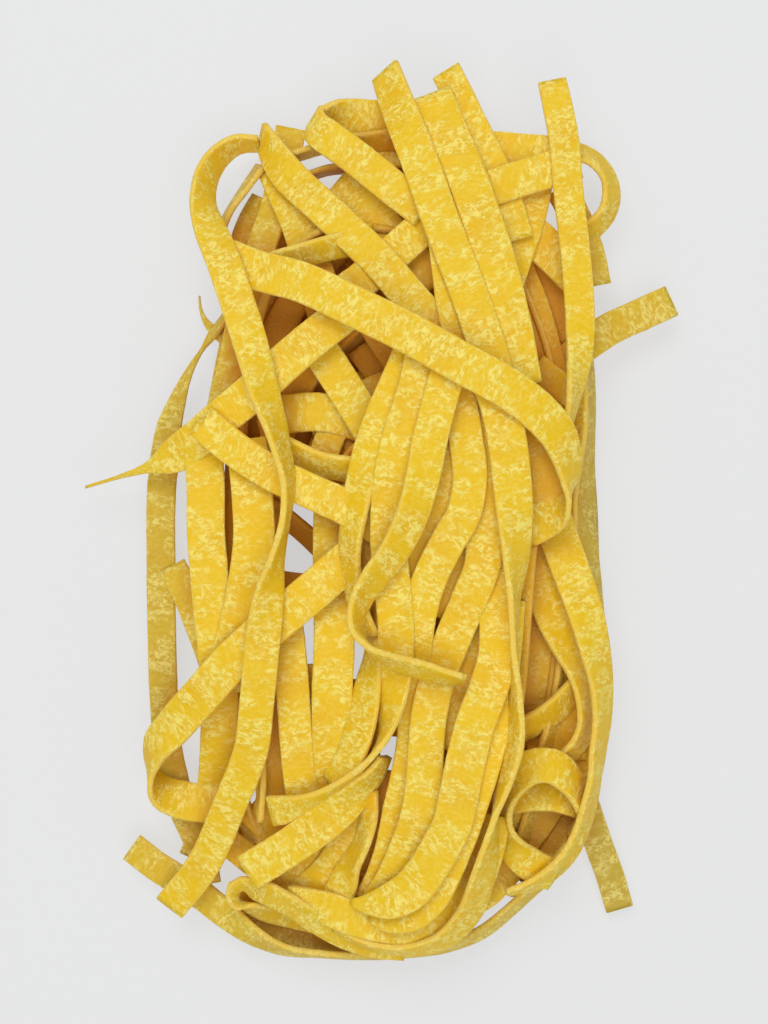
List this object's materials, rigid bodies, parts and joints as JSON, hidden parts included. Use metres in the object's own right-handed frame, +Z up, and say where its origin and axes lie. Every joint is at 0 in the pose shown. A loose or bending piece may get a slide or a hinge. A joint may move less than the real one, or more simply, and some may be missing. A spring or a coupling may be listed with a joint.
{
  "type": "dry pasta nest",
  "caption": "Long nest of dry ribbon pasta: flat noodles laid lengthwise, looped and crossed on top, with loose ends standing out round its oval outline.",
  "frame": {"origin": "middle of the nest's outline, on the table it lies on", "axes": "+Y along the nest, towards the end where strips stand out; +X to the right seen from above; +Z up"},
  "size_m": [0.1072, 0.1608, 0.0325],
  "materials": {
    "pasta": "dry egg pasta: golden yellow with a pale floury network"
  },
  "bodies": {
    "root": {"pasta_nest": "pasta"}
  },
  "joints": []
}
